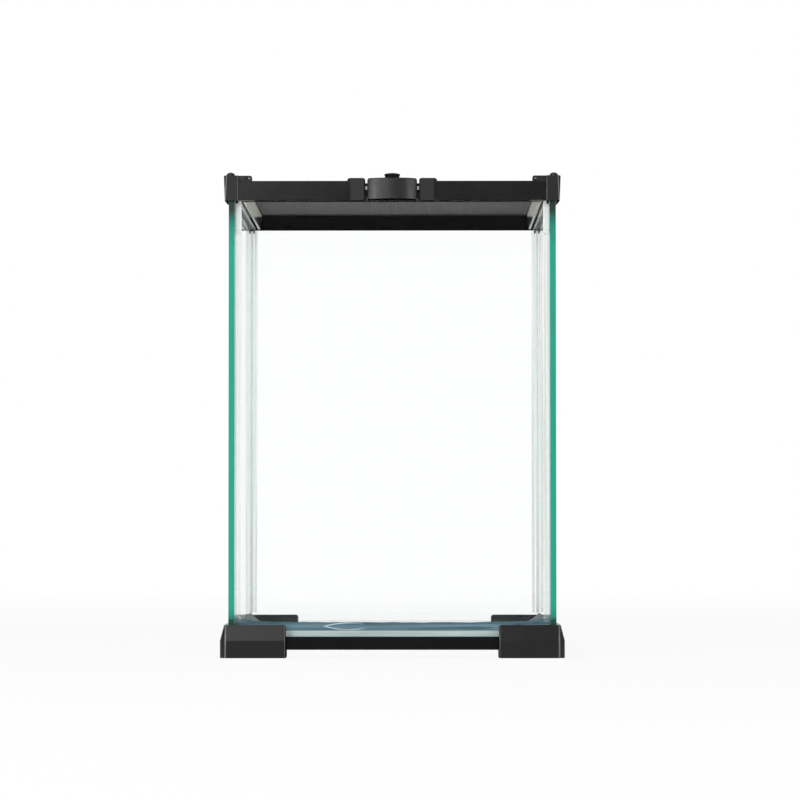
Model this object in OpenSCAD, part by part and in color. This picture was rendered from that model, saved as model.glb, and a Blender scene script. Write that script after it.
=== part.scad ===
// Small upright glass terrarium with a moulded rim, a hinged mesh lid and a front latch.
// Millimetres. X runs to the right, Y to the rear, Z up. The origin is on the ground
// under the middle of the tank.

/* [Tank] */
// Width over the two side panes
tank_w = 203; // [170:1:320]
// Depth over the front and rear panes
tank_d = 203; // [170:1:320]
// Height of the rim's flat top above the ground
rim_top = 295.5; // [200:0.5:460]
// Thickness of every pane
glass_t = 3.8; // [3:0.1:5]
// Silicone joint between a pane's edge and the pane that it meets
seam = 0.3; // [0.2:0.1:0.8]
// Leg of the upright silicone fillets in the corners
bead_leg = 4; // [2:0.5:6]
// Leg of the silicone fillets round the floor
floor_leg = 5.2; // [3:0.1:7]

/* [Base] */
// Height of the seat that the panes stand on
seat_z = 12.9; // [12:0.1:18]
// Free height under the base rails
base_clear = 5; // [4.6:0.1:6]
// How far the base rails stand out past the glass
base_out = 1.5; // [0.8:0.1:2]
// How far the base rails reach in under the floor pane
base_reach = 13.5; // [10:0.5:18]
// Wall thickness of the base rails
base_wall = 2; // [1.5:0.1:2.5]
// Length of rail end that plugs into a foot
base_plug = 6; // [4:0.5:10]
// Clearance of the rail ends in the feet
plug_gap = 0.15; // [0.1:0.05:0.3]

/* [Feet] */
// Length of each leg of a corner foot
foot_len = 40.7; // [32:0.1:55]
// Height of the feet
foot_h = 20.3; // [19:0.1:26]
// How far the feet stand out past the glass at the ground
foot_out = 5.1; // [4.6:0.1:8]
// How far the feet stand out past the glass at their top
foot_top_out = 2.6; // [2:0.1:4]
// Height where the outer faces start to slope
foot_break = 10.7; // [8:0.1:12]
// Bevel across the outer corner at the ground
foot_edge = 3.4; // [2:0.1:4.5]
// Bevel across the outer corner at the top
foot_edge_top = 0.9; // [0.4:0.1:1.8]
// Wall thickness of the feet
foot_wall = 2.2; // [1.8:0.1:2.6]
// Thickness of the ribs under the feet
foot_rib = 1.4; // [1:0.1:2]
// Number of ribs under each leg
foot_ribs = 3; // [2:1:4]
// Width of the foot inside the base rail's inner face
foot_margin = 4; // [3:0.5:6]
// Radius of the pulled-in top corner at the end of a leg
foot_round = 1.2; // [0.6:0.1:2]

/* [Rim] */
// Height of the rim rails
rim_h = 12; // [11.5:0.1:14]
// How far the rim stands out past the glass
rim_out = 1.8; // [1.5:0.1:2.4]
// Depth of glass held in the front and side rails
rim_grip = 4; // [3:0.1:4.2]
// Depth of glass held in the rear rail, under the cable inlets
rear_grip = 2.5; // [2:0.1:2.8]
// Clearance over and outside the panes in the rim's groove
glass_fit = 0.1; // [0.05:0.05:0.3]
// Silicone between the panes and the groove's inner lip
rim_seam = 1.5; // [1:0.1:2]
// Thickness of the groove's inner lip
lip_t = 1.4; // [1.2:0.1:1.8]
// Width of the open pocket that keeps the rail's walls even
pocket_w = 1.6; // [1:0.1:2]
// Thickness of the rail's inner wall and of its lid ledge
rim_wall = 1.6; // [1.2:0.1:1.8]
// Lean of the inner wall's lower part
rim_lean = 1.2; // [0.8:0.1:1.6]
// Flat land between the panes' inner faces and the lid's seat
land_w = 2; // [1.6:0.1:2.4]
// Bevel along the rim's outer top edge
rim_bevel = 0.5; // [0.2:0.1:1]

/* [Corner blocks] */
// Width of a corner block on each face
block_w = 8.8; // [7:0.1:12]
// How far the blocks stand out past the glass at their top
block_out = 3; // [2.8:0.1:5]
// Draft of the blocks over their height
block_draft = 0.6; // [0.2:0.1:0.8]
// Height of the blocks above the rim's top
block_rise = 3.3; // [2.4:0.1:5]
// Bevel across the outer corner of a block
block_edge = 1.6; // [1:0.1:3]
// How far the blocks reach below the rim
block_drop = 0.3; // [0.1:0.1:1]
// Length of the toe under a block's free end
toe_h = 1.8; // [1:0.1:2.4]
// Diameter of the stacking nubs
nub_d = 5.1; // [4:0.1:6]
// Height of the stacking nubs
nub_h = 2.2; // [1.5:0.1:3]
// Height of a nub's straight flank
nub_flank = 1; // [0.6:0.1:1.4]
// Distance of the nubs inside the glass faces
nub_in = 1.2; // [0.4:0.1:2]
// Clearance of a nub in the socket of a foot above it
nub_gap = 0.35; // [0.2:0.05:0.6]
// Length of the arm that lies on the rim beside a block
arm_len = 8.7; // [6:0.1:12]
// Width of the arm
arm_w = 5; // [4:0.1:6]
// Diameter of the steel rivet through the arm
rivet_d = 1.2; // [0.8:0.1:1.6]

/* [Lid] */
// Gap round the lid in its seat
lid_gap = 0.4; // [0.3:0.05:0.8]
// Gap under the lid
lid_lift = 0.1; // [0.05:0.05:0.3]
// Height of the lid's frame
lid_h = 1.9; // [1.8:0.1:2.3]
// Width of the frame's full-height border
lid_border = 2.4; // [2:0.1:2.8]
// Height of the ledge that carries the mesh
mesh_seat = 0.8; // [0.6:0.1:1]
// Thickness of the mesh sheet
mesh_t = 0.5; // [0.4:0.1:0.6]
// Thickness of a mesh bar
mesh_bar = 1.2; // [0.8:0.1:2]
// Number of gaps along each side of the mesh
mesh_n = 17; // [9:1:17]
// Radius of the lid's corners
lid_round = 2; // [1:0.5:3]

/* [Lid hinges] */
// Distance of each hinge's middle inside the side glass face
hinge_side = 31.5; // [30:0.5:50]
// Diameter of the hinge pins
hinge_pin_d = 2.5; // [2:0.1:3]
// Height of the hinge axis above the rim
hinge_up = 3.2; // [3:0.1:5]
// Distance of the hinge axis inside the rear glass face
hinge_in = 4; // [3:0.1:4.4]
// Width of one hinge ear
ear_w = 4; // [3:0.1:6]
// Width of the lid's knuckle
knuckle_w = 7.6; // [6:0.1:12]
// Side play of the knuckle between the ears
knuckle_gap = 0.4; // [0.3:0.05:0.6]
// Wall round the hinge pins
hinge_wall = 1.6; // [1.2:0.1:1.7]
// Thickness of the bracket's foot plate
plate_t = 1.4; // [1:0.1:1.8]
// Length of plate beside the ears, for one screw
plate_side = 6; // [5:0.1:8]

/* [Latch] */
// Width of each latch tower
tower_w = 11.2; // [9:0.1:14]
// Gap between a tower and the flap
latch_gap = 1.3; // [0.8:0.1:2]
// Width of the flap
flap_w = 30.8; // [28:0.1:40]
// How far the towers stand out past the glass
tower_out = 4.1; // [3.8:0.1:6]
// Outward bow of the flap's face
flap_bow = 4.2; // [4:0.1:6]
// Height of the towers above the rim
tower_rise = 1.5; // [1:0.1:2.5]
// How far the towers reach below the rim
tower_drop = 0.3; // [0.1:0.1:1]
// Bevel on a tower's outer upright edge
tower_edge = 2.2; // [1:0.1:3]
// Bevel on a tower's inner upright edge
tower_edge_in = 0.9; // [0.4:0.1:1.5]
// Radius of the tower's and flap's upper corners
latch_round = 1.5; // [0.5:0.1:2]
// Chamfer round the outline of the flap's face
flap_soft = 0.6; // [0.2:0.1:0.8]
// Wall thickness of the flap's face and floor
flap_wall = 1.6; // [1.2:0.1:1.8]
// Thickness of the flap's roof
roof_t = 1; // [0.8:0.1:1.1]
// Thickness of the flap's cheeks
cheek_t = 1.8; // [1.4:0.1:2.4]
// Diameter of the latch pin
latch_pin_d = 2.5; // [2:0.1:2.6]
// Depth of the latch pin below the rim's top
latch_pin_drop = 4.6; // [4.4:0.1:5]
// Distance of the latch pin outside the glass face
latch_pin_out = 1; // [0.8:0.1:1.4]
// Length of pin inside each tower
pin_seat = 4; // [2:0.5:8]
// Thickness of rim left behind the latch
latch_web = 2.2; // [1.8:0.1:2.6]
// Running clearance, on the radius, of pins and spindle
run_gap = 0.08; // [0.03:0.01:0.1]
// Seat clearance, on the radius, of pins held fast
seat_gap = 0.02; // [0.01:0.01:0.03]

/* [Lock knob] */
// Diameter of the knob
knob_d = 9.7; // [8:0.1:10]
// Height of the knob's flank
knob_flank = 2.2; // [1.8:0.1:4]
// Height of the knob's crown
knob_crown = 0.7; // [0.4:0.1:1.5]
// Distance of the knob's axis outside the glass face
knob_out = 2.9; // [2.7:0.1:3.1]
// Height of the knob's waist under its cap
knob_waist = 0.8; // [0.4:0.1:1.2]
// How far the waist lies inside the cap's edge
waist_in = 0.35; // [0.2:0.05:0.6]
// Diameter of the knob's spindle
spindle_d = 3.5; // [3:0.1:4]
// Length of the locking tongue from the spindle's axis
tongue_len = 10.9; // [10.4:0.1:11.2]
// Width of the locking tongue
tongue_w = 4; // [3:0.1:4.2]
// Thickness of the locking tongue
tongue_t = 0.8; // [0.6:0.1:1]
// Gap between the tongue and what it passes
tongue_gap = 0.3; // [0.2:0.05:0.4]

/* [Cable inlets] */
// Distance from the middle to the near end of a shutter's track
track_x = 10.6; // [8:0.1:14]
// Length of a shutter
shutter_len = 30; // [24:0.5:30]
// Width of an inlet
inlet_w = 25; // [18:0.5:25.5]
// Height of an inlet
inlet_h = 4.4; // [4.3:0.1:4.6]
// Thickness of a shutter
shutter_t = 1.4; // [1:0.1:1.6]
// Play round a shutter
shutter_gap = 0.2; // [0.15:0.05:0.3]
// Thickness of the guide that holds a shutter
guide_t = 1; // [0.8:0.1:1.2]

/* [Hidden] */
$fn = 48;
fine = 96;
half_w = tank_w / 2;
half_d = tank_d / 2;
eps = 0.01;
far = 80;

// Levels from the latch down to the lid, which lies just under the locking tongue
flap_gap = 0.1;
latch_z1 = rim_top + tower_rise;
flap_z1 = latch_z1 - flap_gap;
roof_z = flap_z1 - roof_t;
tongue_z = roof_z - tongue_gap - tongue_t;
lid_top = tongue_z - tongue_gap;
lid_z = lid_top - lid_h;
lid_seat_z = lid_z - lid_lift;

// Base and feet
foot_arm = foot_len - foot_out;
foot_reach = base_reach + foot_margin;
socket_depth = nub_h + 0.5;

// Rim section, measured outwards from the glass face and up from the ground
rim_low = rim_top - rim_h;
groove_in = glass_t + rim_seam;
lip_in = groove_in + lip_t;
pocket_in = lip_in + pocket_w;
rim_reach = pocket_in + rim_wall + rim_lean;
land_in = glass_t + land_w;
pane_top = rim_low + rim_grip;
rear_top = rim_low + rear_grip;
lean_h = lid_seat_z - 3;

// Blocks
toe_gap = 0.3;
arm_y = rim_out - 0.8;
rivet_x = block_out - block_w - arm_len + 1.8;
rivet_z = rim_top + block_rise / 2;

// Lid
lid_w = tank_w - 2 * (land_in + lid_gap);
lid_d = tank_d - 2 * (land_in + lid_gap);
open_w = tank_w - 2 * rim_reach;
open_d = tank_d - 2 * rim_reach;
sheet_w = lid_w - 2 * lid_border;
sheet_d = lid_d - 2 * lid_border;
mesh_z = lid_z + mesh_seat;
clamp_z = mesh_z + mesh_t;
sheet_gap = 0.1;

// Hinges
hinge_x = half_w - hinge_side;
hinge_r = hinge_pin_d / 2;
hinge_z = rim_top + hinge_up;
ear_span = knuckle_w + 2 * knuckle_gap + 2 * ear_w;
plate_span = ear_span + 2 * plate_side;
plate_in = hinge_in + 1.1;
turn_gap = 0.3;
screw_head_r = 1.8;
screw_head_h = 1.1;
screw_r = 0.9;
screw_len = 3.5;
screw_y = 2.6 - hinge_in;
screw_x = ear_span / 2 + plate_side / 2;

// Latch
tower_x = flap_w / 2 + latch_gap;
latch_half = tower_x + tower_w;
latch_z0 = rim_low - tower_drop;
notch_in = land_in - latch_web;
notch_z = pane_top + 1;
pin_z = rim_top - latch_pin_drop;
pin_r = latch_pin_d / 2;
flap_z0 = latch_z0 + flap_gap;
bow_r = flap_bow / 2 + flap_w * flap_w / (8 * flap_bow);
flap_front = tower_out + flap_bow;
flap_back = notch_in - 1;
flap_low_back = rim_out + 0.7;
boss_r = latch_pin_d / 2 + 0.95;
tongue_hub = 2.9;
clip_t = 0.6;
clip_z = tongue_z - clip_t - 0.1;
clip_r = 2.6;
neck_r = spindle_d / 2 - 0.4;
spindle_r = spindle_d / 2;
spindle_z = clip_z - 0.3;
knob_z = flap_z1 + tongue_gap;
web_drop = 1;
wire_r = 0.3;
coil_r = pin_r + 0.25 + wire_r;
coil_turns = 5;
coil_pitch = 1.1;
coil_x = 12;
leg_turn = 20.5;
leg_len = 2.2;
tail_hole_r = 0.5;
coil_angle = 360 * coil_turns + 90 - leg_turn;
tail_x = coil_x - coil_pitch * coil_angle / 360;
sweep_half = 12;
sweep_drop = 0.6;

// Inlets
recess_d = shutter_t + 2 * shutter_gap;
shutter_lap = (shutter_len - inlet_w) / 2;
travel = shutter_len - shutter_lap + shutter_gap;
track_end = 0.4;
track_len = shutter_len + travel + 2 * track_end;
shutter_x = track_x + track_end + travel;
inlet_x = shutter_x + shutter_lap;
inlet_z = rear_top + 0.7;
shutter_over = 0.5;
shutter_z = inlet_z - 2 * shutter_over;
shutter_h = inlet_h + 3 * shutter_over;
guide_z = inlet_z - 2.7;
guide_top = inlet_z + inlet_h + 1.1;
guide_side = 1;
rib_h = 0.5;
rib_z = inlet_z + 2.4;

black = [0.13, 0.13, 0.14];
soft_black = [0.19, 0.18, 0.19];
steel = [0.72, 0.73, 0.75];
clear_glass = [0.62, 0.9, 0.84, 0.4];
clear_bead = [0.85, 0.92, 0.93, 0.6];

// Places a shape drawn with +Y outwards from a glass face
module front_face() {
    translate([0, -half_d, 0]) mirror([0, 1, 0]) children();
}
module rear_face() {
    translate([0, half_d, 0]) children();
}
module left_face() {
    rotate([0, 0, 90]) translate([0, half_w, 0]) children();
}
module right_face() {
    rotate([0, 0, -90]) translate([0, half_w, 0]) children();
}
// Places a shape drawn with +X and +Y outwards from the tank's right rear corner
module at_corner(sx, sy) {
    translate([sx * half_w, sy * half_d, 0])
        mirror([sx < 0 ? 1 : 0, 0, 0]) mirror([0, sy < 0 ? 1 : 0, 0]) children();
}
// Extrudes a section drawn in Y and Z along X, about the middle
module along(len) {
    rotate([90, 0, 90]) linear_extrude(len, center = true) children();
}
// Extrudes an elevation drawn in X and Z along Y
module through(y0, y1) {
    translate([0, y1, 0]) rotate([90, 0, 0]) linear_extrude(y1 - y0) children();
}
module box(low, high) {
    translate(low) cube(high - low);
}
module rounded(w, h, r) {
    square([w - 2 * r, h], center = true);
    square([w, h - 2 * r], center = true);
    for (sx = [-1, 1], sy = [-1, 1]) {
        translate([sx * (w / 2 - r), sy * (h / 2 - r)]) circle(r);
    }
}

// Glass

module wide_pane(top) {
    w = tank_w - 2 * (glass_t + seam);
    color(clear_glass) box([-w / 2, -glass_t, seat_z], [w / 2, 0, top]);
}
module front_pane() {
    front_face() wide_pane(pane_top);
}
module rear_pane() {
    rear_face() wide_pane(rear_top);
}
module side_pane() {
    color(clear_glass) difference() {
        box([-half_d, -glass_t, seat_z], [half_d, 0, pane_top]);
        // The rear rail's shallower groove ends lower
        box([-half_d - 1, -glass_t - 1, rear_top], [-half_d + groove_in + 0.6, 1, pane_top + 1]);
    }
}
module left_pane() {
    mirror([1, 0, 0]) right_pane();
}
module right_pane() {
    right_face() side_pane();
}
module floor_pane() {
    w = tank_w - 2 * (glass_t + seam);
    d = tank_d - 2 * (glass_t + seam);
    color(clear_glass) translate([-w / 2, -d / 2, seat_z]) cube([w, d, glass_t]);
}

// Silicone

// Hollow fillet between two faces that meet at the origin
module fillet_section(leg) {
    difference() {
        translate([-leg, -leg]) square(leg);
        translate([-leg, -leg]) circle(leg, $fn = fine);
    }
}
module corner_silicone() {
    z0 = seat_z + glass_t + floor_leg;
    color(clear_bead) for (sx = [-1, 1], sy = [-1, 1]) {
        at_corner(sx, sy) translate([-glass_t, -glass_t, z0])
            linear_extrude(rim_low - z0) fillet_section(bead_leg);
    }
}
module floor_silicone() {
    z = seat_z + glass_t;
    w = tank_w - 2 * glass_t;
    d = tank_d - 2 * glass_t;
    color(clear_bead) {
        translate([0, d / 2, z]) floor_run(w);
        mirror([0, 1, 0]) translate([0, d / 2, z]) floor_run(w);
        rotate([0, 0, 90]) translate([0, w / 2, z]) floor_run(d);
        rotate([0, 0, -90]) translate([0, w / 2, z]) floor_run(d);
    }
}
module floor_run(len) {
    along(len) mirror([0, 1]) fillet_section(floor_leg);
}
module rim_silicone() {
    z0 = rim_low + 0.3;
    color(clear_bead) difference() {
        box([-half_w + glass_t, -half_d + glass_t, z0], [half_w - glass_t, half_d - glass_t, rear_top]);
        box([-half_w + groove_in, -half_d + groove_in, z0 - 1],
            [half_w - groove_in, half_d - groove_in, rear_top + 1]);
    }
}

// Base

module foot_outline(inset) {
    a = foot_arm - inset;
    r = foot_reach - inset;
    o = foot_out - inset;
    polygon([[-a, -r], [-r, -r], [-r, -a], [o, -a], [o, o], [-a, o]]);
}
module foot_profile() {
    square_end = -foot_arm;
    polygon([[square_end, 0], [foot_out, 0], [foot_out, foot_break], [foot_top_out, foot_h],
             [square_end + foot_round, foot_h], [square_end, foot_h - foot_round]]);
}
module foot_body() {
    intersection() {
        linear_extrude(foot_h) foot_outline(0);
        through(-far, far) foot_profile();
        rotate([90, 0, 90]) translate([0, 0, -far]) linear_extrude(2 * far) foot_profile();
        // The bevel across the outer corner leans in with the slopes
        rotate([0, 0, 45]) through(-2 * far, 2 * far) polygon([
            [-2 * far, 0],
            [(2 * foot_out - foot_edge) / sqrt(2), 0],
            [(2 * foot_out - foot_edge) / sqrt(2), foot_break],
            [(2 * foot_top_out - foot_edge_top) / sqrt(2), foot_h],
            [-2 * far, foot_h]]);
    }
}
module foot_pocket() {
    top = seat_z - foot_wall;
    inner = foot_arm - foot_wall;
    pitch = (inner - nub_in) / (foot_ribs + 1);
    difference() {
        translate([0, 0, -1]) linear_extrude(top + 1) foot_outline(foot_wall);
        for (i = [1 : foot_ribs]) {
            box([-inner + i * pitch - foot_rib, -far, -2], [-inner + i * pitch, far, top + 1]);
            box([-far, -inner + i * pitch - foot_rib, -2], [far, -inner + i * pitch, top + 1]);
        }
        translate([-nub_in, -nub_in, -2]) cylinder(h = top + 3, r = nub_d / 2 + nub_gap + foot_wall);
    }
}
module rail_socket() {
    box([-foot_arm - 1, -base_reach - plug_gap, base_clear - plug_gap],
        [-foot_arm + base_plug + plug_gap, base_out + plug_gap, seat_z + eps]);
}
module foot() {
    color(black) difference() {
        foot_body();
        box([-far, -far, seat_z], [glass_fit, glass_fit, foot_h + 1]);
        foot_pocket();
        rail_socket();
        mirror([1, -1, 0]) rail_socket();
        translate([-nub_in, -nub_in, -1]) cylinder(h = socket_depth + 1, r = nub_d / 2 + nub_gap);
    }
}
module front_left_foot() {
    at_corner(-1, -1) foot();
}
module front_right_foot() {
    at_corner(1, -1) foot();
}
module rear_left_foot() {
    at_corner(-1, 1) foot();
}
module rear_right_foot() {
    at_corner(1, 1) foot();
}
module base_section() {
    skin = seat_z - base_wall;
    ease = 0.4;
    polygon([[-base_reach, base_clear], [-base_reach, seat_z], [base_out - ease, seat_z],
             [base_out, seat_z - ease], [base_out, base_clear], [base_out - base_wall, base_clear],
             [base_out - base_wall, skin], [-base_reach + base_wall, skin],
             [-base_reach + base_wall, base_clear]]);
}
module base_rail(face_w) {
    color(soft_black) along(face_w - 2 * (foot_arm - base_plug)) base_section();
}
module front_base_rail() {
    front_face() base_rail(tank_w);
}
module rear_base_rail() {
    rear_face() base_rail(tank_w);
}
module left_base_rail() {
    left_face() base_rail(tank_d);
}
module right_base_rail() {
    right_face() base_rail(tank_d);
}

// Rim

// Channel that grips the glass, with a seat for the lid and a pocket open below
module rim_section() {
    groove_top = pane_top + glass_fit;
    polygon([[rim_out, rim_low], [rim_out, rim_top - rim_bevel], [rim_out - rim_bevel, rim_top],
             [-land_in, rim_top], [-land_in, lid_seat_z], [-rim_reach, lid_seat_z],
             [-rim_reach, lean_h], [-rim_reach + rim_lean, rim_low], [-pocket_in, rim_low],
             [-pocket_in, lid_seat_z - rim_wall], [-lip_in, lid_seat_z - rim_wall],
             [-lip_in, rim_low], [-groove_in, rim_low], [-groove_in, groove_top],
             [glass_fit, groove_top], [glass_fit, rim_low]]);
}
// The rear rail is deep and solid enough for the cable inlets
module rear_section() {
    groove_top = rear_top + glass_fit;
    polygon([[rim_out, rim_low], [rim_out, rim_top - rim_bevel], [rim_out - rim_bevel, rim_top],
             [-land_in, rim_top], [-land_in, lid_seat_z], [-rim_reach, lid_seat_z],
             [-rim_reach, rim_low], [-groove_in, rim_low], [-groove_in, groove_top],
             [glass_fit, groove_top], [glass_fit, rim_low]]);
}
// A length of section mitred at both ends through the glass corners
module mitred(face_w) {
    half = face_w / 2;
    intersection() {
        along(face_w + 2 * far) children();
        translate([0, 0, rim_low - 1]) linear_extrude(rim_h + 2) polygon([
            [half + rim_out, rim_out], [-half - rim_out, rim_out],
            [-half + rim_reach, -rim_reach], [half - rim_reach, -rim_reach]]);
    }
}
module front_rim_rail() {
    color(soft_black) front_face() difference() {
        mitred(tank_w) rim_section();
        // Seat of the two towers, and the flap's room between them
        box([-latch_half, -notch_in, notch_z], [latch_half, far, rim_top + 1]);
        box([-latch_half, -land_in - eps, rim_top - web_drop],
            [latch_half, -notch_in + eps, rim_top + 1]);
        // Room for the locking tongue's swing
        box([-sweep_half, -land_in - eps, tongue_z - sweep_drop], [sweep_half, 0, rim_top + 1]);
        box([-tower_x + latch_gap / 2, glass_fit, rim_low - 1],
            [tower_x - latch_gap / 2, far, notch_z + 1]);
        // Hole for the spring's tail
        translate([-tail_x, 0, pin_z + coil_r]) rotate([90, 0, 0])
            cylinder(h = land_in + 1, r = tail_hole_r);
    }
}
module side_rail() {
    color(soft_black) mitred(tank_d) rim_section();
}
module left_rim_rail() {
    left_face() side_rail();
}
module right_rim_rail() {
    right_face() side_rail();
}
module inlet_cut() {
    box([inlet_x, -rim_reach - 1, inlet_z], [inlet_x + inlet_w, rim_out + 1, inlet_z + inlet_h]);
    box([track_x, -rim_reach - 1, shutter_z - shutter_gap],
        [track_x + track_len, -rim_reach + recess_d, shutter_z + shutter_h + shutter_gap]);
}
module rear_rim_rail() {
    color(soft_black) rear_face() difference() {
        mitred(tank_w) rear_section();
        inlet_cut();
        mirror([1, 0, 0]) inlet_cut();
        for (x = [-hinge_x - screw_x, -hinge_x + screw_x, hinge_x - screw_x, hinge_x + screw_x]) {
            translate([x, screw_y, rim_top - screw_len])
                cylinder(h = screw_len + 1, r = screw_r + seat_gap);
        }
    }
}

// Corner blocks

module block_profile() {
    inner = block_out - block_w;
    low = rim_low - block_drop;
    high = rim_top + block_rise;
    ease = 0.5;
    polygon([[inner, low], [block_out - block_draft, low], [block_out, high - ease],
             [block_out - ease, high], [inner, high]]);
}
module block_body() {
    inner = block_out - block_w;
    intersection() {
        translate([0, 0, rim_low - 1]) linear_extrude(rim_h + block_rise + 2) polygon([
            [inner, inner], [block_out, inner], [block_out, block_out - block_edge],
            [block_out - block_edge, block_out], [inner, block_out]]);
        through(-far, far) block_profile();
        rotate([90, 0, 90]) translate([0, 0, -far]) linear_extrude(2 * far) block_profile();
    }
}
module toe() {
    inner = block_out - block_w;
    outer = block_out - block_draft;
    low = rim_low - block_drop;
    skin = 1.3;
    tip = 0.7;
    translate([inner, 0, 0]) rotate([90, 0, 90]) linear_extrude(skin) polygon([
        [toe_gap, rim_low], [toe_gap, low - toe_h], [toe_gap + tip, low - toe_h],
        [outer, low], [outer, rim_low]]);
}
module nub() {
    r = nub_d / 2;
    crown = nub_h - nub_flank;
    ball = (r * r + crown * crown) / (2 * crown);
    intersection() {
        translate([0, 0, -1]) cylinder(h = nub_h + 2, r = r);
        translate([0, 0, nub_h - ball]) sphere(ball, $fn = fine);
    }
}
module arm_elevation() {
    end = block_out - block_w - arm_len;
    root = block_out - block_w;
    r = 1.3;
    translate([end + r, rim_top]) square([root - end - r, block_rise]);
    translate([end, rim_top]) square([root - end, block_rise - r]);
    translate([end + r, rim_top + block_rise - r]) circle(r);
}
module corner_block() {
    color(black) {
        difference() {
            union() {
                block_body();
                toe();
                mirror([1, -1, 0]) toe();
            }
            box([-far, -far, rim_low], [rim_out, rim_out, rim_top]);
            box([-far, -far, rim_low - toe_h - 1], [toe_gap, toe_gap, rim_low + eps]);
        }
        translate([-nub_in, -nub_in, rim_top + block_rise]) nub();
        difference() {
            through(arm_y - arm_w, arm_y) arm_elevation();
            translate([rivet_x, arm_y + 1, rivet_z]) rotate([90, 0, 0])
                cylinder(h = arm_w + 2, r = rivet_d / 2 + seat_gap);
        }
    }
}
module front_left_block() {
    at_corner(-1, -1) corner_block();
}
module front_right_block() {
    at_corner(1, -1) corner_block();
}
module rear_left_block() {
    at_corner(-1, 1) corner_block();
}
module rear_right_block() {
    at_corner(1, 1) corner_block();
}
module arm_rivets() {
    proud = 0.2;
    color(steel) for (sx = [-1, 1], sy = [-1, 1]) {
        at_corner(sx, sy) translate([rivet_x, arm_y + proud, rivet_z]) rotate([90, 0, 0])
            cylinder(h = arm_w + proud, r = rivet_d / 2);
    }
}

// Lid

module ring(w, d, in_w, in_d, h) {
    linear_extrude(h) difference() {
        rounded(w, d, lid_round);
        square([in_w, in_d], center = true);
    }
}
module lid_frame() {
    color(black) difference() {
        translate([0, 0, lid_z]) ring(lid_w, lid_d, open_w, open_d, lid_h);
        translate([-sheet_w / 2 - sheet_gap, -sheet_d / 2 - sheet_gap, mesh_z])
            cube([sheet_w + 2 * sheet_gap, sheet_d + 2 * sheet_gap, lid_h]);
    }
}
module lid_mesh() {
    gap_w = (open_w - (mesh_n + 1) * mesh_bar) / mesh_n;
    gap_d = (open_d - (mesh_n + 1) * mesh_bar) / mesh_n;
    color([0.3, 0.3, 0.31]) translate([0, 0, mesh_z]) linear_extrude(mesh_t) difference() {
        square([sheet_w, sheet_d], center = true);
        for (i = [0 : mesh_n - 1], j = [0 : mesh_n - 1]) {
            translate([-open_w / 2 + mesh_bar + i * (gap_w + mesh_bar),
                       -open_d / 2 + mesh_bar + j * (gap_d + mesh_bar)]) square([gap_w, gap_d]);
        }
    }
}
module mesh_clamp() {
    color(soft_black) difference() {
        translate([-sheet_w / 2, -sheet_d / 2, clamp_z]) cube([sheet_w, sheet_d, lid_top - clamp_z]);
        translate([-open_w / 2, -open_d / 2, clamp_z - 1]) cube([open_w, open_d, lid_h]);
    }
}

// Lid hinges, drawn about the middle of one hinge

module at_hinge(side) {
    rear_face() translate([side * hinge_x, 0, 0]) children();
}
module hinge_bore(gap) {
    translate([-ear_span, -hinge_in, hinge_z]) rotate([0, 90, 0])
        cylinder(h = 2 * ear_span, r = hinge_r + gap);
}
module knuckle_section() {
    r = hinge_r + hinge_wall;
    pad_end = -land_in - lid_gap - 0.9;
    pad_start = -rim_reach + 0.2;
    arm_t = 1.8;
    translate([-hinge_in, hinge_z]) circle(r);
    polygon([[pad_start, lid_top], [pad_end, lid_top], [pad_end + 0.6, rim_top + 0.5],
             [-hinge_in, hinge_z - r + 0.2], [-hinge_in, hinge_z + r - 1],
             [pad_start, lid_top + arm_t]]);
}
module lid_knuckle() {
    color(soft_black) difference() {
        along(knuckle_w) knuckle_section();
        hinge_bore(run_gap);
    }
}
module hinge_bracket() {
    r = hinge_r + hinge_wall;
    color(black) difference() {
        union() {
            for (side = [-1, 1]) {
                translate([side * (ear_span - ear_w) / 2, 0, 0]) along(ear_w) {
                    translate([-hinge_in, hinge_z]) circle(r);
                    translate([-hinge_in - 1, rim_top]) square([r + 1, hinge_up]);
                }
            }
            box([-plate_span / 2, -plate_in, rim_top], [plate_span / 2, arm_y, rim_top + plate_t]);
        }
        // The knuckle turns in the gap between the ears
        along(knuckle_w + 2 * knuckle_gap) {
            translate([-hinge_in, hinge_z]) circle(r + turn_gap);
            translate([-far, rim_top - 1]) square([far - hinge_in + r - turn_gap, far]);
        }
        hinge_bore(seat_gap);
        for (side = [-1, 1]) {
            translate([side * screw_x, screw_y, rim_top - 1]) cylinder(h = far, r = screw_r + seat_gap);
        }
    }
}
module hinge_pin() {
    color(steel) translate([-ear_span / 2, -hinge_in, hinge_z]) rotate([0, 90, 0])
        cylinder(h = ear_span, r = hinge_r);
}
module hinge_screw() {
    slot = 0.5;
    translate([0, 0, rim_top - screw_len]) cylinder(h = screw_len + plate_t + eps, r = screw_r);
    translate([0, 0, rim_top + plate_t]) difference() {
        cylinder(h = screw_head_h, r1 = screw_head_r, r2 = screw_head_r - 0.3, $fn = 32);
        for (a = [0, 90]) {
            rotate([0, 0, a]) translate([-1, -slot / 2, slot]) cube([2, slot, 2]);
        }
    }
}
module left_lid_knuckle() {
    at_hinge(-1) lid_knuckle();
}
module right_lid_knuckle() {
    at_hinge(1) lid_knuckle();
}
module left_hinge_bracket() {
    at_hinge(-1) hinge_bracket();
}
module right_hinge_bracket() {
    at_hinge(1) hinge_bracket();
}
module left_hinge_pin() {
    at_hinge(-1) hinge_pin();
}
module right_hinge_pin() {
    at_hinge(1) hinge_pin();
}
module hinge_screws() {
    color(steel) for (side = [-1, 1], end = [-1, 1]) {
        at_hinge(side) translate([end * screw_x, screw_y, 0]) hinge_screw();
    }
}

// Latch

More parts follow.
